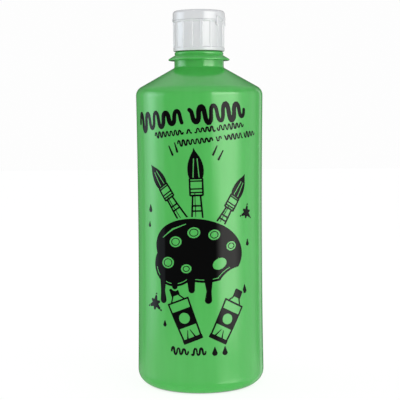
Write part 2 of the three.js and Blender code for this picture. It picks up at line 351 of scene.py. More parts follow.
def mapped(tree, value, start, end, low, high, **options):
    """Maps a value from the range start to end to the range low to high."""
    node = add(tree, "ShaderNodeMapRange", From_Min=start, From_Max=end, To_Min=low, To_Max=high, **options)
    return adjust(node, Value=value).outputs["Result"]


def spread(tree, value, low, high):
    """Maps a noise value to the range low to high."""
    return mapped(tree, value, 0.3, 0.7, low, high)


def blended(tree, factor, first, second):
    """A blend of two colours, which are the mix node's inputs 6 and 7."""
    node = add(tree, "ShaderNodeMix", data_type="RGBA")
    node.inputs[6].default_value = (*first, 1)
    node.inputs[7].default_value = (*second, 1)
    tree.links.new(factor, node.inputs[0])
    return node.outputs[2]


def bump(tree, shader, height, distance, strength=1.0, **below):
    """Raises the shader's surface by height times distance in metres, over the Normal below it."""
    node = add(tree, "ShaderNodeBump", Height=height, Distance=distance, Strength=strength, **below)
    adjust(shader, Normal=node.outputs["Normal"])
    return node.outputs["Normal"]


def green_plastic():
    """Glossy blow-moulded polythene: faint flow streaks, fine scuffs, broad and very fine ripple."""
    material, tree, shader = nodes_of("green_bottle_plastic")
    space = object_space(tree)
    streaks = spread(tree, noise(tree, object_space(tree, (1, 1, 0.12)), 160, 4), 0, 1)
    adjust(
        shader,
        Base_Color=blended(tree, streaks, (0.081, 0.512, 0.096), (0.089, 0.540, 0.106)),
        Roughness=spread(tree, noise(tree, space, 900, 5, 0.7), 0.14, 0.19),
        IOR=1.5,
        Subsurface_Weight=0.12,
        Subsurface_Radius=(0.2, 1.0, 0.25),
        Subsurface_Scale=0.003,
    )
    broad = bump(tree, shader, noise(tree, space, 45, 2), 0.00004)
    bump(tree, shader, noise(tree, space, 2600, 2), 0.000002, Normal=broad)
    return material


def white_plastic():
    """Injection-moulded polypropylene: slightly milky, fine sheen variation and faint flow marks."""
    material, tree, shader = nodes_of("white_cap_plastic")
    space = object_space(tree)
    tone = spread(tree, noise(tree, object_space(tree, (1, 1, 0.25)), 260, 3), 0, 1)
    adjust(
        shader,
        Base_Color=blended(tree, tone, (0.785, 0.80, 0.825), (0.825, 0.835, 0.855)),
        Roughness=spread(tree, noise(tree, space, 1500, 4), 0.08, 0.13),
        IOR=1.49,
        Subsurface_Weight=0.25,
        Subsurface_Radius=(1.0, 0.95, 0.9),
        Subsurface_Scale=0.0015,
    )
    bump(tree, shader, noise(tree, space, 4200, 2), 0.000003)
    return material


def printing_ink():
    """Screen-printing ink: smooth, black and glossy, with slight unevenness of the layer."""
    material, tree, shader = nodes_of("black_screen_ink")
    space = object_space(tree)
    depth = spread(tree, noise(tree, space, 700, 3), 0, 1)
    adjust(
        shader,
        Base_Color=blended(tree, depth, (0.0001, 0.0001, 0.0001), (0.0004, 0.0004, 0.0004)),
        Roughness=spread(tree, noise(tree, space, 1800, 3), 0.03, 0.07),
        Specular_IOR_Level=0.14,
    )
    bump(tree, shader, noise(tree, space, 3000, 2), 0.000002)
    return material


def liner_foam():
    """Foamed polythene sheet: matt off-white with fine closed cells, their hollows painted a little darker
    as shade.
    """
    material, tree, shader = nodes_of("liner_foam")
    cells = add(tree, "ShaderNodeTexVoronoi", Vector=object_space(tree), Scale=3500).outputs["Distance"]
    # the colour follows the cells' depth: painted shade darkens the hollows of the cells
    colour = blended(tree, cells, (0.80, 0.78, 0.72), (0.90, 0.88, 0.83))
    adjust(shader, Base_Color=colour, Roughness=0.7)
    bump(tree, shader, cells, 0.00006, 0.8)
    return material


def liquid_paint():
    """Ready-mixed paint: thick, satin, with slow swirls of two greens."""
    material, tree, shader = nodes_of("liquid_green_paint")
    space = object_space(tree)
    swirl = add(tree, "ShaderNodeTexNoise", Vector=space, Scale=70, Detail=4, Distortion=1.6).outputs["Fac"]
    colour = blended(tree, spread(tree, swirl, 0, 1), (0.020, 0.300, 0.030), (0.035, 0.380, 0.045))
    adjust(shader, Base_Color=colour, Roughness=spread(tree, noise(tree, space, 400, 3), 0.22, 0.34))
    bump(tree, shader, swirl, 0.0003, 0.5)
    return material


GREEN = green_plastic()
WHITE = white_plastic()
INK = printing_ink()
FOAM = liner_foam()
PAINT = liquid_paint()

# ---------------- bottle


def body_corners(inset):
    """Corners from the axis at the base up to the shoulder, drawn in by inset from the outer skin."""
    floor = inset * FLOOR_THICKENING
    crown = shoulder_height(SHOULDER_RADIUS - inset) - inset / math.cos(SHOULDER_SLOPE)
    wall = [(float(body_radius(h)) - inset, h) for h in np.linspace(BASE_CORNER * 2, crown - 12, 12)]
    return [
        (0, PUSH_UP + PUSH_UP_DOME + floor),
        (8, PUSH_UP + PUSH_UP_DOME * 0.85 + floor, 20),
        (PUSH_UP_RADIUS, PUSH_UP + floor, 3),
        (STANDING_RING_INNER + inset, floor, 1.5),
        (BASE_RADIUS - inset, floor, BASE_CORNER - inset),
        *wall,
        (SHOULDER_RADIUS - inset, crown, SHOULDER_CORNER - inset),
    ]


def bottle_outline():
    """Section of the shell, from the axis up the outside and down the inside."""
    inner_neck = NECK_RADIUS - NECK_WALL
    inner_foot = shoulder_height(inner_neck) - WALL / math.cos(SHOULDER_SLOPE)
    outer = body_corners(0) + [
        (NECK_RADIUS, NECK_FOOT, 1.2),
        (NECK_RADIUS, FLANGE_BOTTOM, 0.35),
        (FLANGE_RADIUS, FLANGE_BOTTOM, 0.3),
        (FLANGE_RADIUS, FLANGE_BOTTOM + FLANGE_EDGE, 0.35),
        (BEAD_RADIUS - 0.55, BEAD_BOTTOM - 0.1, 0.2),
        (BEAD_RADIUS, BEAD_BOTTOM + 0.15, 0.75),
        (BEAD_RADIUS, BEAD_TOP, 1.1),
        (FINISH_RADIUS, BEAD_TOP, 0.3),
        (FINISH_RADIUS, FINISH_TOP, 0.6),
    ]
    inner = [
        (BORE_RADIUS, FINISH_TOP, 0.5),
        (BORE_RADIUS, BEAD_BOTTOM, 3),
        (inner_neck, FLANGE_BOTTOM, 2),
        (inner_neck, inner_foot, 1.2),
        *reversed(body_corners(WALL)),
    ]

    def spacing(r, z):
        if z > BEAD_TOP and r > BORE_RADIUS + 1:
            return 0.25
        return 2.5 if r > 15 else 1.5

    return refined(rounded(outer + inner), spacing)


def bottle_shift(angle, r, z):
    """Thread on the finish, mould parting line, and the faint unevenness of a blown wall."""
    skin = body_radius(np.clip(z, 0, SHOULDER_CROWN))
    wall_foot, wall_top = 12, SHOULDER_CROWN - 8
    wall = (r > skin - WALL / 2) & (z > wall_foot) & (z < wall_top)
    base = (r > 33) & (z <= wall_foot)
    shoulder = (z >= wall_top) & (z > shoulder_height(r) - WALL * 0.6)
    neck = (r > BORE_RADIUS + 1) & (z > NECK_FOOT)
    finish = (r > FINISH_RADIUS - 0.7) & (r < FINISH_RADIUS + 0.1) & (z > BEAD_TOP + 0.4)
    blown = 0.018 * np.sin(2 * angle + z / 31) + 0.014 * np.sin(3 * angle - z / 19 + 1.3)
    ridge = THREAD_DEPTH * helix_ridge(angle - math.pi / 2, z, 0, NECK_THREAD_START)
    across = np.minimum(np.abs(angle - math.pi / 2), np.abs(angle - 1.5 * math.pi)) * r
    parting_line = PARTING_LINE * np.exp(-((across / 0.22) ** 2))
    outside = (wall | base | shoulder | neck) & ~finish
    return wall * blown + finish * ridge + outside * parting_line, z * 0


def build_bottle():
    """The blown shell, with extra columns along the mould's parting line at its two sides."""
    steps = [side * offset / BODY_MAX for side in (-1, 1) for offset in (0.12, 0.25, 0.4, 0.6)]
    extra = [middle + step for middle in (math.pi / 2, 1.5 * math.pi) for step in [0, *steps]]
    azimuths = np.array(sorted(set(np.round([*even_azimuths(240), *extra], 6))))
    vertices, faces = revolved(bottle_outline(), azimuths, bottle_shift)
    return piece("bottle", vertices, faces, "bottle", GREEN, ["bottle_shell"])


def build_base_weld():
    """The pinched weld across the pushed-up base, where the blown tube was nipped off."""
    length = 34.0
    half_width, half_height = 0.55, 0.45
    middle_height = PUSH_UP + 0.25
    steps = 40
    sides = 12
    vertices = []
    for i in range(steps + 1):
        x = (i / steps - 0.5) * length
        fade = math.sqrt(max(0.0, 1 - (2 * i / steps - 1) ** 8)) * 0.95 + 0.05
        for k in range(sides):
            y, drop = half_width * math.cos(TURN * k / sides), half_height * math.sin(TURN * k / sides)
            vertices.append((x, fade * y, middle_height - fade * drop))
    faces = [
        (i * sides + k, i * sides + (k + 1) % sides, (i + 1) * sides + (k + 1) % sides, (i + 1) * sides + k)
        for i in range(steps)
        for k in range(sides)
    ]
    faces += [tuple(range(sides))[::-1], tuple(steps * sides + k for k in range(sides))]
    return piece("base_weld_line", vertices, faces, "bottle", GREEN)


def build_paint():
    """The paint, a hair's breadth clear of the wall, with a level that climbs a little at its edge."""
    gap = 0.25
    corners = body_corners(WALL + gap)
    radius, height = corners[-1][:2]
    level_radius = radius - (PAINT_LEVEL - height) / math.tan(SHOULDER_SLOPE)
    top = [
        (level_radius, PAINT_LEVEL, 0.4),
        (level_radius - 2.5, PAINT_LEVEL - 0.6, 3),
        (0, PAINT_LEVEL - 0.7),
    ]
    outline = refined(rounded(corners + top), lambda r, z: 3.0)
    vertices, faces = revolved(outline, even_azimuths(128))
    return piece("paint", vertices, faces, "bottle", PAINT, ["paint_fill"])


# ---------------- closure


def hinge_side(azimuth, radius):
    """Sideways distance in mm from the hinge's middle, positive to the right seen from outside."""
    away = (azimuth - HINGE_AZIMUTH + math.pi) % TURN - math.pi
    out_of_reach = 99.0
    return np.where(np.abs(away) < 1.2, radius * np.sin(away), out_of_reach)


def strap_rise(across):
    """Half height in mm of a hinge panel, which widens from the middle out to its lug."""
    share = (across - FILM_HALF_WIDTH) / (LUG_MIDDLE - FILM_HALF_WIDTH)
    return STRAP_TIP_RISE + (STRAP_RISE - STRAP_TIP_RISE) * share


def bow_depth(side, up):
    """Signed distance in mm to the butterfly window, negative inside it."""
    across = np.abs(side)
    beside = np.maximum(FILM_HALF_WIDTH * 0.6 - across, across - LUG_MIDDLE)
    panel = np.maximum(np.abs(up) - strap_rise(across), beside)
    half = LUG_WIDTH / 2
    over = np.maximum(np.maximum(up - (LUG_TOP - half), (LUG_BOTTOM + half) - up), 0)
    lug = np.hypot(across - LUG_MIDDLE, over) - half
    return np.minimum(panel, lug)


def window_share(azimuth, z, radius, clearance):
    """1 inside the hinge window grown by clearance, 0 outside, with a soft edge."""
    depth = bow_depth(hinge_side(azimuth, radius), z - SEAM)
    return smooth((clearance - depth) / 0.22 + 0.5)


def panel_dip(azimuth):
    """How far the skirt dips below its ribs: 0 on a rib, 1 on a panel."""
    pitch = TURN / RIBS
    away = np.abs((azimuth - RIB_PHASE + pitch / 2) % pitch - pitch / 2) * CAP_RADIUS
    return smooth((away - RIB_WIDTH / 2 + 0.22) / RIB_FLANK)


def panel_flatness(azimuth):
    """How far a panel's middle lies inside the round skirt, in mm."""
    pitch = TURN / RIBS
    middle = (azimuth - RIB_PHASE) % pitch - pitch / 2
    return PANEL_FLATNESS * (1 - np.minimum(1, (2 * middle / pitch) ** 2))


def skirt_shift(azimuth, r, z):
    """Panels between the ribs, taper, hinge pocket, thumb scoop and inner thread of the cap."""
    skirt = (r > CAP_BORE + 0.9) & (z < SEAM)
    low = smooth((z - CAP_BOTTOM - FOOT_RING) / 0.5)
    high = smooth((SEAM - 0.75 - z) / 0.8)
    dip = (RIB_DIP + panel_flatness(azimuth)) * panel_dip(azimuth)
    taper = CAP_TAPER * (z - SEAM) / (SEAM - CAP_BOTTOM)
    shift = np.where(skirt, -dip * low * high + taper, 0.0)
    pocket = window_share(azimuth, z, HINGE_RADIUS, HINGE_CLEARANCE)
    floor = STRAP_FLOOR - 0.1
    shift = np.where(skirt, shift + pocket * np.minimum(0, floor - (r + shift)), shift)
    back = ((azimuth - HINGE_AZIMUTH) % TURN - math.pi) * CAP_RADIUS
    scoop = 1 - np.hypot(back / THUMB_SCOOP_HALF_WIDTH, (z - SEAM + 0.6) / THUMB_SCOOP_HALF_HEIGHT) ** 2
    shift = np.where(skirt, shift - THUMB_SCOOP * smooth(scoop * 1.6), shift)
    bore = (np.abs(r - CAP_BORE) < 0.05) & (z < DECK_BOTTOM - 0.3)
    ridge = helix_ridge(azimuth - math.pi / 2, z, -math.pi, NECK_THREAD_START - PITCH)
    return shift - np.where(bore, THREAD_DEPTH * ridge, 0.0), z * 0


def closure_azimuths():
    """Columns that follow the ribs' flanks, the hinge and the thumb scoop."""
    flanks = [k * 0.11 for k in range(-10, 11)]
    ribs = [RIB_PHASE + TURN * k / RIBS + s / CAP_RADIUS for k in range(RIBS) for s in flanks]
    hinge = [HINGE_AZIMUTH + s / CAP_RADIUS for s in np.arange(-8.5, 8.51, 0.13)]
    return even_azimuths(200, ribs + hinge)


def build_cap():
    """Skirt, ledge, snap rim, deck and nozzle as one moulding."""
    rim = LID_RADIUS - LID_WALL - 0.3
    ledge = SEAM - SEAM_GAP / 2
    outline = refined(
        rounded([
            (CAP_BORE, CAP_BOTTOM, 0.25),
            (CAP_RADIUS, CAP_BOTTOM, 0.35),
            (CAP_RADIUS, ledge - 1.0),
            (LEDGE_RADIUS, ledge - 0.6),
            (LEDGE_RADIUS, ledge, 0.12),
            (rim, ledge, 0.1),
            (rim, ledge + 0.7),
            (rim + 0.12, ledge + 1.05, 0.2),
            (rim, ledge + RIM_HEIGHT, 0.35),
            (rim - RIM_WALL, ledge + RIM_HEIGHT, 0.35),
            (rim - RIM_WALL, DECK_TOP, 0.5),
            (NOZZLE_FOOT_RADIUS, DECK_TOP, 0.9),
            (NOZZLE_TIP_RADIUS, NOZZLE_TOP - 0.7, 0.6),
            (NOZZLE_TIP_RADIUS, NOZZLE_TOP, 0.35),
            (ORIFICE_RADIUS, NOZZLE_TOP, 0.3),
            (ORIFICE_RADIUS, DECK_BOTTOM, 0.2),
            (CAP_BORE, DECK_BOTTOM, 0.2),
        ]),
        lambda r, z: 0.25 if r > CAP_BORE - 0.1 else 1.2,
        closed=True,
    )
    vertices, faces = revolved(outline, closure_azimuths(), skirt_shift, closed=True)
    return piece("cap", vertices, faces, "cap", WHITE, ["cap_base"])


def lid_shift(azimuth, r, z):
    """Hinge window in the lid's wall and the thumb lip opposite it."""
    wall = r > LID_RADIUS - LID_WALL + 0.3
    pocket = window_share(azimuth, z, HINGE_RADIUS, HINGE_CLEARANCE)
    floor = STRAP_FLOOR + 0.05
    shift = np.where(wall, pocket * np.minimum(0, floor - r), 0.0)
    back = ((azimuth - HINGE_AZIMUTH) % TURN - math.pi) * LID_RADIUS
    across = smooth((THUMB_LIP_HALF_WIDTH - np.abs(back)) / 0.9)
    up = smooth((THUMB_LIP_HEIGHT - (z - LID_BOTTOM)) / 0.8)
    return shift + np.where(wall, THUMB_LIP * across * up, 0.0), z * 0


def build_lid():
    """The lid with its sealing pin, and the gate mark on its top."""
    underside = LID_TOP - LID_WALL
    bore = LID_RADIUS - LID_WALL
    bottom = SEAM + SEAM_GAP / 2
    outline = refined(
        rounded([
            (0, PIN_TIP),
            (PIN_TIP_RADIUS, PIN_TIP, 0.45),
            (PIN_ROOT_RADIUS, underside, 0.3),
            (bore, underside, 0.8),
            (bore, bottom, 0.1),
            (LID_RADIUS, bottom, 0.12),
            (LID_RADIUS, LID_TOP, LID_CORNER),
            (GATE_MARK_RADIUS + 0.4, LID_TOP, 0.3),
            (GATE_MARK_RADIUS, LID_TOP - GATE_MARK_DEPTH, 0.3),
            (0, LID_TOP - GATE_MARK_DEPTH),
        ]),
        lambda r, z: 0.2 if r > bore - 0.1 and z < LID_TOP - 1.5 else 1.0,
    )
    vertices, faces = revolved(outline, closure_azimuths(), lid_shift)
    return piece("lid", vertices, faces, "lid", WHITE, ["flip_lid"])


def curved_sheet(sides, heights, inner, outer):
    """A closed sheet that follows the cap: grids of sideways and upward mm, and its two radii."""
    rows, columns = sides.shape
    layers = []
    for radius in (inner, outer):
        angle = HINGE_AZIMUTH + np.arcsin(sides / HINGE_RADIUS)
        layers.append(np.stack([radius * np.sin(angle), -radius * np.cos(angle), SEAM + heights], -1))
    vertices = np.concatenate([layer.reshape(-1, 3) for layer in layers])
    faces = []

    def at(i, j, layer):
        return (layer * rows + i) * columns + j

    for i in range(rows - 1):
        for j in range(columns - 1):
            faces.append((at(i, j, 1), at(i, j + 1, 1), at(i + 1, j + 1, 1), at(i + 1, j, 1)))
            faces.append((at(i, j, 0), at(i + 1, j, 0), at(i + 1, j + 1, 0), at(i, j + 1, 0)))
    border = [(0, j) for j in range(columns)] + [(i, columns - 1) for i in range(1, rows)]
    border += [(rows - 1, j) for j in range(columns - 2, -1, -1)] + [(i, 0) for i in range(rows - 2, 0, -1)]
    for (i, j), (k, m) in zip(border, border[1:] + border[:1]):
        faces.append((at(i, j, 0), at(k, m, 0), at(k, m, 1), at(i, j, 1)))
    return vertices, faces


def bends_with_lid(sheet):
    """Bakes the sheet's placement into its mesh; the sheet is attached to neither the cap nor the lid."""
    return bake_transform(sheet)


def crowded(count, linear):
    """Steps from -1 to 1 that crowd round 0, where the hinge bends."""
    steps = np.linspace(-1, 1, count)
    return linear * steps + (1 - linear) * steps ** 3


def build_strap(side, name, node):
    """One triangular spring panel with the stiff lug at its outer end."""
    half = LUG_WIDTH / 2
    # columns are even over the panel and closer round the lug, rows crowd at the seam
    across = np.concatenate([
        np.linspace(FILM_HALF_WIDTH * 0.8, LUG_MIDDLE - half * 0.95, 22),
        LUG_MIDDLE - half * np.cos(np.linspace(0.32, math.pi - 0.25, 18)),
    ])
    rise = strap_rise(across)
    bulge = np.sqrt(np.maximum(0, half ** 2 - (across - LUG_MIDDLE) ** 2))
    in_lug = across > LUG_MIDDLE - half
    top = np.where(in_lug, LUG_TOP - half + bulge, rise + 0.08)
    bottom = np.where(in_lug, LUG_BOTTOM + half - bulge, -rise - 0.08)
    share = (crowded(61, 0.35) + 1) / 2
    heights = bottom[None, :] + (top - bottom)[None, :] * share[:, None]
    sides = np.repeat(across[None, :], len(share), 0)
    # the face is crowned: over its last 0.75 mm it falls off to the edge in a quarter circle
    edge = np.minimum(heights - bottom[None, :], top[None, :] - heights)
    edge = np.minimum(edge, (across[-1] - sides) * 1.5)
    crown = np.sqrt(1 - (1 - np.clip(edge / 0.75, 0, 1)) ** 2)
    lug = smooth((sides - (LUG_MIDDLE - half)) / 0.25)
    proud = LID_RADIUS + LUG_PROUD - STRAP_FLOOR - STRAP_THICKNESS
    outer = STRAP_FLOOR + STRAP_THICKNESS * (0.6 + 0.4 * crown) + lug * proud * (0.45 + 0.55 * crown)
    inner = np.full_like(outer, STRAP_FLOOR - 0.02)
    if side < 0:
        sides, heights, inner, outer = [grid[:, ::-1] for grid in (-sides, heights, inner, outer)]
    vertices, faces = curved_sheet(sides, heights, inner, outer)
    sheet = piece(name, vertices, faces, None, WHITE, [node])
    return bends_with_lid(sheet)


def build_film():
    """The thin living hinge between the two panels: thinnest along the seam."""
    across = np.linspace(-FILM_HALF_WIDTH, FILM_HALF_WIDTH, 13)
    sides, heights = np.meshgrid(across, 0.95 * crowded(33, 0.4))
    groove = 0.28 * np.exp(-((heights / 0.22) ** 2))
    outer = HINGE_RADIUS - 0.06 - groove
    inner = np.full_like(outer, HINGE_RADIUS - 0.62)
    vertices, faces = curved_sheet(sides, heights, inner, outer)
    sheet = piece("living_hinge_film", vertices, faces, None, WHITE, ["hinge_film"])
    return bends_with_lid(sheet)


def build_liner():
    """The foam ring between the neck's rim and the deck."""
    outline = refined(
        rounded([
            (BORE_RADIUS - LINER_OVERHANG, LINER_LOW, 0.25),
            (LINER_RADIUS, LINER_LOW, 0.25),
            (LINER_RADIUS, LINER_HIGH, 0.25),
            (BORE_RADIUS - LINER_OVERHANG, LINER_HIGH, 0.25),
        ]),
        lambda r, z: 0.5,
        closed=True,
    )

    def pressed(angle, r, z):
        """The ring that the neck's rim has pressed into the underside."""
        ring = np.exp(-(((r - (FINISH_RADIUS + BORE_RADIUS) / 2) / 0.8) ** 2))
        return r * 0, 0.1 * ring * (z < (LINER_LOW + LINER_HIGH) / 2)

    vertices, faces = revolved(outline, even_azimuths(128), pressed, closed=True)
    return piece("liner", vertices, faces, "liner", FOAM, ["sealing_liner"])


# ---------------- print


def ink_piece(name, field, low, high, cell=0.32):
    """A thin closed layer of ink wrapped on the bottle where field(u, z) is below 0.

    u is the distance round the bottle from its front and z the height, both in mm. The layer's edge
    is found by marching squares on a grid of cells.
    """
    us = np.arange(low[0], high[0] + cell, cell)
    zs = np.arange(low[1], high[1] + cell, cell)
    grid_u, grid_z = np.meshgrid(us, zs, indexing="ij")
    value = field(grid_u, grid_z)
    points, index, faces = [], {}, []

    def corner(i, j):
        if (i, j) not in index:
            index[i, j] = len(points)
            points.append((us[i], zs[j]))
        return index[i, j]

    def crossing(a, b):
        key = (min(a, b), max(a, b))
        if key not in index:
            share = min(0.98, max(0.02, value[key[0]] / (value[key[0]] - value[key[1]])))
            first, second = (np.array((us[i], zs[j])) for i, j in key)
            index[key] = len(points)
            points.append(tuple(first + (second - first) * share))
        return index[key]

    inside = value < 0
    touched = inside[:-1, :-1] | inside[1:, :-1] | inside[1:, 1:] | inside[:-1, 1:]
    for i, j in zip(*np.where(touched)):
        loop = [(i, j), (i + 1, j), (i + 1, j + 1), (i, j + 1)]
        face = []
        for a, b in zip(loop, loop[1:] + loop[:1]):
            if inside[a]:
                face.append(corner(*a))
            if inside[a] != inside[b]:
                face.append(crossing(a, b))
        faces.append(face)
    return wrapped_layer(name, np.array(points), faces)


def wrapped_layer(name, points, faces):
    """Gives a flat set of faces a thickness and wraps it round the bottle."""
    count = len(points)
    angle = points[:, 0] / WAIST_RADIUS
    layers = []
    for offset in (-INK_SUNK, INK_PROUD):
        radius = body_radius(points[:, 1]) + offset
        layers.append(np.stack([radius * np.sin(angle), -radius * np.cos(angle), points[:, 1]], -1))
    edges = dict.fromkeys((a, b) for face in faces for a, b in zip(face, face[1:] + face[:1]))
    solid = [tuple(v + count for v in face) for face in faces]
    solid += [tuple(reversed(face)) for face in faces]
    solid += [(b, a, a + count, b + count) for a, b in edges if (b, a) not in edges]
    return piece(name, np.concatenate(layers), solid, "bottle", INK)


def to_segment(u, z, a, b, width_a, width_b):
    """Signed distance to a round-ended bar from a to b whose half-width runs from width_a to width_b."""
    du, dz = b[0] - a[0], b[1] - a[1]
    t = np.clip(((u - a[0]) * du + (z - a[1]) * dz) / (du * du + dz * dz), 0, 1)
    return np.hypot(u - a[0] - t * du, z - a[1] - t * dz) - (width_a + (width_b - width_a) * t)


def along(u, z, path, widths):
    """Signed distance to a stroke along a path of points, with a half-width at each."""
    return np.minimum.reduce([
        to_segment(u, z, a, b, wa, wb) for a, b, wa, wb in zip(path, path[1:], widths, widths[1:])
    ])


def in_frame(u, z, centre, degrees):
    """Coordinates in a frame at centre, turned by degrees."""
    c, s = math.cos(math.radians(degrees)), math.sin(math.radians(degrees))
    return (u - centre[0]) * c + (z - centre[1]) * s, -(u - centre[0]) * s + (z - centre[1]) * c


def oval(u, z, centre, half_width, half_height, degrees=0):
    x, y = in_frame(u, z, centre, degrees)
    k = np.hypot(x / half_width, y / half_height)
    return (k - 1) * min(half_width, half_height)


def slab(u, z, half_width, half_height, corner):
    """Signed distance to a rounded rectangle about the origin."""
    x, y = np.abs(u) - half_width + corner, np.abs(z) - half_height + corner
    return np.hypot(np.maximum(x, 0), np.maximum(y, 0)) + np.minimum(np.maximum(x, y), 0) - corner


def squiggle(u, z, start, end, wave, height, half_width, gaps=()):
    """A hand-drawn round-topped wave from start to end, with gaps given as shares of its length."""
    length = math.dist(start, end)
    degrees = math.degrees(math.atan2(end[1] - start[1], end[0] - start[0]))
    x, y = in_frame(u, z, start, degrees)
    waves = round(length / wave)
    share = np.linspace(0, 1, waves * 14 + 1)
    phase = TURN * waves * share
    tall = 1 + 0.18 * np.sin(9 * share + 1) + 0.22 * np.maximum(0, np.sin(31 * share))
    path = list(zip(share * length - 0.055 * wave * np.sin(2 * phase), height * tall * np.sin(phase)))
    widths = half_width * (1 + 0.15 * np.sin(23 * share))
    strokes = []
    edges = [0, *[edge for gap in gaps for edge in gap], 1]
    for low, high in zip(edges[::2], edges[1::2]):
        part = slice(round(low * waves * 14), round(high * waves * 14) + 1)
        strokes.append(along(x, y, path[part], widths[part]))
    return np.minimum.reduce(strokes)


def brush(u, z, tail, tip, width, line):
    """An artist's brush: banded handle, ferrule with three rings and bristles that come to a point.

    Returns the ink's field and the field of the whole outline. width is half the ferrule's.
    """
    length = math.dist(tail, tip)
    x, y = in_frame(u, z, tail, math.degrees(math.atan2(tip[1] - tail[1], tip[0] - tail[0])))
    hair_start = length - 4.6 * width
    metal_start = hair_start - 2.6 * width
    handle = along(
        x, y, [(1, 0), (metal_start * 0.5, 0), (metal_start, 0)], [1, width * 0.9, width * 0.6]
    )
    metal = slab(x - (metal_start + hair_start) / 2, y, 1.3 * width, width, 0.5)
    share = np.linspace(0, 1, 12)
    hair_path = [(hair_start + 4.6 * width * t, 0.2 * width * t * t) for t in share]
    hair = along(x, y, hair_path, width * (0.9 + 3.6 * share) * (1 - share) ** 1.4 + 0.25)
    hair = np.maximum(hair, hair_start + 0.5 - x)
    lean = 0.5 * width - 0.07 * (x - hair_start)
    streaks = [np.abs(y - side * lean) - 0.32 for side in (-1, 0.9)]
    dark_hair = np.maximum.reduce([hair, *[-np.maximum(s, x - hair_start - 3.1 * width) for s in streaks]])
    rings = [slab(x - metal_start - k * width, y, 0.42, width, 0.2) for k in (0.45, 1.0, 2.2)]
    bands = [slab(x - metal_start + k * width, y, 0.5, 2 * width, 0.2) for k in (1.6, 2.4)]
    shine = slab(x - metal_start + 1.2 * width, y - 0.25 * width, 3 * width, 0.22, 0.1)
    edges = [np.maximum(np.abs(handle) - line, -metal), np.abs(metal) - line]
    marks = [np.maximum(handle, np.minimum.reduce([*bands, shine])), np.minimum.reduce(rings)]
    return np.minimum.reduce([*edges, *marks, dark_hair]), np.minimum.reduce([handle, metal, hair])


def tube(u, z, centre, degrees, width, reach, line):
    """A squeezed paint tube with its cap at the far end and its tail folded over.

    Returns the ink's field and the field of the whole outline. width and reach are half sizes.
    """
    x, y = in_frame(u, z, centre, degrees)
    body = np.maximum(np.abs(y) - width * (1 + 0.1 * x / reach), np.abs(x) - reach)
    shoulder = to_segment(x, y, (reach, 0), (reach + 3.4, 0), width * 0.75, 2.4)
    cap = slab(x - reach - 6.4, y, 2.6, 3.0, 0.6)
    fold = slab(x + reach + 0.9, y, 1.4, width * 1.02, 0.4)
    label = np.maximum(slab(x - 1, y, reach * 0.45, width * 2, 0.2), body)
    spot = np.hypot(x - 1, y) - width * 0.55
    creases = [
        along(x, y, [(-reach, side * 0.35 * width), (-reach * 0.55, side * 0.1 * width)], [0.5, 0.2])
        for side in (-1, 1.4)
    ]
    rings = [np.abs(body) - line, np.maximum(np.abs(shoulder) - line, -body)]
    ink = np.minimum.reduce([*rings, cap, fold, np.maximum(label, -spot), *creases])
    return ink, np.minimum.reduce([body, shoulder, cap, fold])


def drop(u, z, centre, size):
    """A falling drop, round below and pointed above."""
    x, y = u - centre[0], z - centre[1]
    return to_segment(x, y, (0, 0), (0, size * 2.2), size, size * 0.1)


def splash(u, z, centre, size):
    """A blot of paint with six arms and a loose drop beyond every other one."""
    x, y = u - centre[0], z - centre[1]
    shape = np.hypot(x, y) - size
    for k in range(6):
        angle = TURN * k / 6 + 0.35
        reach = size * (1.75 if k % 2 else 1.35)
        tip = (reach * math.cos(angle), reach * math.sin(angle))
        shape = np.minimum(shape, to_segment(x, y, (0, 0), tip, size * 0.75, size * 0.34))
        if k % 2:
            shape = np.minimum(shape, np.hypot(x - 1.4 * tip[0], y - 1.4 * tip[1]) - size * 0.25)
    return shape


def palette(u, z):
    """A painter's palette with a thumb hole, six wells, a shine and paint running off its edge."""
    board = np.minimum(oval(u, z, (-1, 93), 30, 20, -9), oval(u, z, (-17, 84), 15, 14, 10))
    board = np.maximum(board, -oval(u, z, (25, 71), 14, 10.5, 20))
    thumb = oval(u, z, (12.5, 84.5), 4.8, 3.5, 25)
    spots = [(-21.5, 85, 4.3), (-16, 98.5, 4.1), (-4, 104.5, 4.1)]
    spots += [(9, 103, 3.9), (20.5, 95.5, 3.5), (-9, 81.5, 3.4)]
    wells = [oval(u, z, (x, y), size, size * 0.84, 10) for x, y, size in spots]
    shine = along(u, z, [(-25, 101), (-18, 106.4), (-9, 109.9)], [0.25, 0.5, 0.25])
    thickness = np.maximum(np.abs(board + 1.7) - 0.25, z - 82)
    solid = np.maximum.reduce([board, -thumb, -shine, -thickness, *[-well for well in wells]])
    runs = np.minimum.reduce([
        along(u, z, [(-25, 78), (-25.4, 67), (-25, 61)], [2.8, 1.6, 2.3]),
        along(u, z, [(-17, 76), (-16.7, 70)], [2.6, 1.9]),
        along(u, z, [(-6, 76), (-5.6, 68)], [2.8, 2.0]),
        along(u, z, [(5, 78), (5.4, 67), (5, 61.5)], [3.2, 1.6, 2.3]),
    ])
    dabs = [np.abs(well + 1.2) - 0.25 for well in wells]
    return np.minimum.reduce([solid, runs, *dabs]), np.minimum(board, runs)


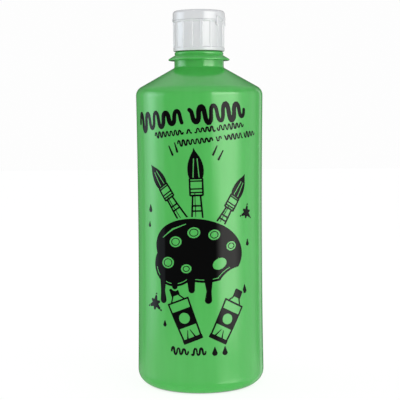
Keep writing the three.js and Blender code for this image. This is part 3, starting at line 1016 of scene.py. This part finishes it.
def emblem(u, z):
    """Palette, brushes, tubes, drops and splashes: a plain art-supplies picture.

    Each part is its ink's field and the field of its whole outline, which are one for a solid mark.
    Every part keeps a gap to the outlines of those before it.
    """
    line = 0.55
    gap = 1.0
    parts = [palette(u, z)]
    parts += [
        brush(u, z, (-1, 92), (-3, 157.5), 4.1, line),
        brush(u, z, (2, 94), (-34, 147), 3.5, line),
        brush(u, z, (3, 94), (32, 140), 3.4, line),
        tube(u, z, (-10, 49), 112, 6.4, 12.5, line),
        tube(u, z, (17, 48), 63, 6.2, 12, line),
    ]
    parts += [(splash(u, z, place, size),) * 2 for place, size in [((-32, 58), 2.6), ((33, 116), 2.2)]]
    drops = [((-36, 118), 1.6), ((-37, 108), 1.2), ((34, 96), 1.4), ((31, 66), 1.8), ((-24, 45), 1.3)]
    parts += [(drop(u, z, place, size),) * 2 for place, size in drops]
    ticks = [(-20, 159, 2.5), (-16, 161, 1.7), (11, 159, -2.5), (15, 156, -3)]
    parts += [(to_segment(u, z, (x, y), (x + lean, y - 5.5), 0.35, 0.7),) * 2 for x, y, lean in ticks]
    ink, covered = parts[0]
    for drawn, outline in parts[1:]:
        ink = np.minimum(ink, np.maximum(drawn, gap - covered))
        covered = np.minimum(covered, outline)
    return ink


def build_print():
    """A bold wave over two small ones, the picture, and a row of foot marks."""

    def title(u, z):
        return squiggle(u, z, (-47, 173.4), (30.5, 181.6), 8.0, 4.3, 1.35, [(0.465, 0.53)])

    def upper(u, z):
        gaps = [(0.33, 0.37), (0.42, 0.46), (0.66, 0.69)]
        return squiggle(u, z, (-30.5, 165.6), (30, 172.1), 2.9, 1.3, 0.46, gaps)

    def lower(u, z):
        gaps = [(0.40, 0.44), (0.5, 0.54), (0.78, 0.81)]
        return squiggle(u, z, (-13.8, 160.6), (41.5, 166.8), 2.9, 1.3, 0.46, gaps)

    def foot(u, z):
        wave = squiggle(u, z, (-19, 28.6), (3, 28.6), 3.6, 1.75, 0.6, [(0.5, 0.62)])
        drops = [drop(u, z, (x, 27.6), 1.8) for x in (8.8, 15.5)]
        return np.minimum.reduce([wave, *drops])

    ink_piece("print_wave", title, (-52, 162), (36, 194))
    ink_piece("print_line_upper", upper, (-34, 161), (34, 177), 0.25)
    ink_piece("print_line_lower", lower, (-17, 156), (45, 172), 0.25)
    ink_piece("print_picture", emblem, (-44, 26), (44, 166))
    ink_piece("print_foot_marks", foot, (-24, 22), (22, 36), 0.25)


# ---------------- stage, light and camera


def maths(tree, operation, *values):
    """A maths node worked on numbers or on the outputs of other nodes."""
    node = add(tree, "ShaderNodeMath", operation=operation)
    for socket, value in zip(node.inputs, values):
        if isinstance(value, (int, float)):
            socket.default_value = value
        else:
            tree.links.new(value, socket)
    return node.outputs[0]


def ramp(tree, value, start, end):
    """0 at start and 1 at end with a soft step between; start may be the larger."""
    return mapped(tree, value, start, end, 0.0, 1.0, interpolation_type="SMOOTHSTEP")


def pale_floor():
    """A surface that glows like a light table, with a painted contact shadow: its glow fades to a dark line
    where the bottle touches it.

    In glossy reflections only the part in front of the bottle shows, as wide as a table top, with painted
    shade close round the bottle and a painted pool of light a little to the right. Distances are in metres.
    """
    material, tree, shader = nodes_of("pale_floor")
    adjust(shader, Base_Color=(0.20, 0.20, 0.20, 1), Roughness=0.7, Specular_IOR_Level=0.1)
    place = add(tree, "ShaderNodeNewGeometry").outputs["Position"]
    x, y, _ = add(tree, "ShaderNodeSeparateXYZ", Vector=place).outputs
    distance = add(tree, "ShaderNodeVectorMath", operation="LENGTH", Vector=place).outputs["Value"]
    glossy = add(tree, "ShaderNodeLightPath").outputs["Is Glossy Ray"]
    on_table = ramp(tree, distance, 0.40, 0.12)
    # painted shade in reflections: close round the bottle the floor is partly hidden from glossy rays,
    # which stands in for its shade there
    clear = maths(tree, "MULTIPLY_ADD", ramp(tree, distance, 0.045, 0.09), 0.6, 0.4)
    in_front = ramp(tree, y, 0.07, -0.03)
    aside = ramp(tree, maths(tree, "ABSOLUTE", x), 0.02, 0.13)
    share = maths(tree, "MULTIPLY", maths(tree, "MULTIPLY", on_table, clear), in_front)
    share = maths(tree, "MULTIPLY", share, maths(tree, "MULTIPLY_ADD", aside, 0.35, 0.65))
    hidden = maths(tree, "MULTIPLY", maths(tree, "SUBTRACT", 1.0, share), glossy)
    # painted light in reflections: to the right the floor glows a little brighter, as if lit by the right
    # softbox
    painted_light_right = maths(tree, "MULTIPLY", ramp(tree, x, 0.02, 0.15), glossy)
    level = maths(tree, "MULTIPLY_ADD", painted_light_right, 0.1, 0.872)
    # painted contact shadow: the floor's glow is dimmed to dark under the bottle's foot and comes back by
    # about 37 mm from its axis
    painted_contact_shadow = ramp(tree, distance, 0.0318, 0.0372)
    adjust(shader, Emission_Color=(1, 1, 1, 1), Emission_Strength=maths(tree, "MULTIPLY", level, painted_contact_shadow))
    see_through = add(tree, "ShaderNodeBsdfTransparent")
    mix = add(tree, "ShaderNodeMixShader")
    tree.links.new(hidden, mix.inputs[0])
    tree.links.new(shader.outputs[0], mix.inputs[1])
    tree.links.new(see_through.outputs[0], mix.inputs[2])
    adjust(tree.nodes["Material Output"], Surface=mix.outputs[0])
    return material


def build_stage():
    """A floor so big that its edges are out of sight."""
    size = 3.0
    mesh = bpy.data.meshes.new("floor")
    corners = [(-size, -size, 0), (size, -size, 0), (size, size, 0), (-size, size, 0)]
    mesh.from_pydata(corners, [], [(0, 1, 2, 3)])
    mesh.materials.append(pale_floor())
    floor = bpy.data.objects.new("floor", mesh)
    bpy.context.scene.collection.objects.link(floor)


def view_angles(tree):
    """Azimuth from the camera's side of the object to its right, and elevation, in degrees."""
    view = add(tree, "ShaderNodeTexCoord").outputs["Camera"]
    levelled = add(tree, "ShaderNodeMapping", Vector=view, Rotation=(CAMERA_PITCH, 0, 0))
    right, up, away = add(tree, "ShaderNodeSeparateXYZ", Vector=levelled.outputs["Vector"]).outputs
    towards = maths(tree, "MULTIPLY", away, -1.0)
    azimuth = maths(tree, "ARCTAN2", right, towards)
    elevation = maths(tree, "ARCSINE", up)
    return [maths(tree, "MULTIPLY", angle, 180 / math.pi) for angle in (azimuth, elevation)]


def softbox_glow(tree):
    """The panels of light that stand round the camera and go where it goes, added up."""
    azimuth, elevation = view_angles(tree)
    cool, warm, white = (0.86, 0.97, 1.08), (1.0, 0.985, 0.95), (0.97, 1.0, 1.01)
    everywhere = (-401, -400, 400, 401)

    def band(angle, low, low_full, high_full, high):
        return maths(tree, "MULTIPLY", ramp(tree, angle, low, low_full), ramp(tree, angle, high, high_full))

    def panel(tint, level, *azimuths, elevations=(-40, -30, 16, 28)):
        """A soft-edged panel of light, from four edges each in azimuth and elevation."""
        across = band(azimuth, *azimuths)
        upward = band(elevation, *elevations)
        colour = [level * part for part in tint]
        scaled = add(tree, "ShaderNodeVectorMath", operation="SCALE", Vector=colour)
        return adjust(scaled, Scale=maths(tree, "MULTIPLY", across, upward)).outputs[0]

    panels = [
        # a faint glow all round, weaker straight behind the bottle
        panel(white, 0.10, *everywhere, elevations=everywhere),
        panel(white, 0.18, -160, -140, 140, 160),
        # the softbox on the right, wider for the upper body and brighter for the cap
        panel(warm, 4.0, 27, 43, 63, 87),
        panel(warm, 4.0, 18, 27, 27, 43, elevations=(-5, -1.5, 16, 28)),
        panel(warm, 2.7, 19, 27, 62, 82, elevations=(3.3, 4.3, 16, 28)),
        # the softbox on the left and its core, brighter for the upper body and wider for neck and cap
        panel(cool, 1.1, -124, -118, -70, -66, elevations=(-32, 6, 16, 28)),
        panel(cool, 1.75, -116, -98, -94, -79, elevations=(-32, 6, 16, 28)),
        panel(cool, 1.1, -114, -103, -84, -70, elevations=(-2.4, 1, 6.5, 8)),
        panel(cool, 1.6, -90, -82, -70, -58, elevations=(1.9, 2.7, 6.5, 8)),
        # two strips that light the right edge, and the sky over the shoulder
        panel(white, 0.72, 70, 84, 112, 128),
        panel(white, 0.7, 138, 146, 148, 156),
        panel(white, 0.68, *everywhere, elevations=(15, 50, 100, 101)),
    ]
    glow = panels[0]
    for light in panels[1:]:
        total = add(tree, "ShaderNodeVectorMath", operation="ADD")
        tree.links.new(glow, total.inputs[0])
        tree.links.new(light, total.inputs[1])
        glow = total.outputs[0]
    return glow


def build_surroundings():
    """White for the camera, even light for matt surfaces, and softboxes that only glossy rays see."""
    world = bpy.data.worlds.new("studio")
    bpy.context.scene.world = world
    world.use_nodes = True
    tree = world.node_tree
    tree.nodes.clear()
    path = add(tree, "ShaderNodeLightPath")
    seen, even = 0.985, 0.52
    plain = maths(tree, "MULTIPLY_ADD", path.outputs["Is Camera Ray"], seen - even, even)
    # inputs 4 and 5 of the mix are its two vectors
    mix = add(tree, "ShaderNodeMix", data_type="VECTOR")
    tree.links.new(path.outputs["Is Glossy Ray"], mix.inputs[0])
    tree.links.new(plain, mix.inputs[4])
    tree.links.new(softbox_glow(tree), mix.inputs[5])
    background = add(tree, "ShaderNodeBackground", Color=mix.outputs[1])
    add(tree, "ShaderNodeOutputWorld", Surface=background.outputs[0])


def area_light(name, azimuth, elevation, distance, size, energy, tint=(1, 1, 1)):
    """A softbox for matt surfaces, aimed at the bottle's middle. It stays out of reflections."""
    middle = Vector((0, 0, 0.12))
    light = bpy.data.lights.new(name, "AREA")
    light.shape = "RECTANGLE"
    light.size, light.size_y = size
    light.energy = energy
    light.color = tint
    lamp = bpy.data.objects.new(name, light)
    a, e = math.radians(azimuth), math.radians(elevation)
    away = Vector((math.sin(a) * math.cos(e), -math.cos(a) * math.cos(e), math.sin(e)))
    lamp.location = middle + away * distance
    lamp.rotation_euler = away.to_track_quat("Z", "Y").to_euler()
    lamp.visible_glossy = False
    lamp.visible_camera = False
    bpy.context.scene.collection.objects.link(lamp)


def build_lights():
    area_light("softbox_right", 53.5, 22, 1.2, (0.9, 1.3), 1.9, (1.0, 0.985, 0.95))
    area_light("softbox_left", -94, 22, 1.2, (0.9, 1.3), 1.4, (0.95, 0.985, 1.0))
    area_light("softbox_front", 0, 26, 1.4, (1.4, 1.4), 2.2)


def build_camera():
    """A long lens a little above the bottle's middle, looking slightly down and very slightly rolled."""
    place = (0.00005, -0.727, 0.1767)
    roll = math.radians(0.38)
    data = bpy.data.cameras.new("camera")
    data.sensor_width = 36
    data.lens = 98.6
    data.clip_start = 0.01
    camera = bpy.data.objects.new("camera", data)
    camera.matrix_world = (
        Matrix.Translation(place)
        @ Matrix.Rotation(math.pi / 2 - CAMERA_PITCH, 4, "X")
        @ Matrix.Rotation(-roll, 4, "Z")
    )
    bpy.context.scene.collection.objects.link(camera)
    bpy.context.scene.camera = camera


build_bottle()
build_base_weld()
build_paint()
build_liner()
build_cap()
build_lid()
build_strap(-1, "hinge_panel_left", "hinge_strap_left")
build_strap(1, "hinge_panel_right", "hinge_strap_right")
build_film()
build_print()
build_stage()
build_surroundings()
build_lights()
build_camera()
bpy.context.scene.view_settings.view_transform = "Standard"
bpy.context.view_layer.update()
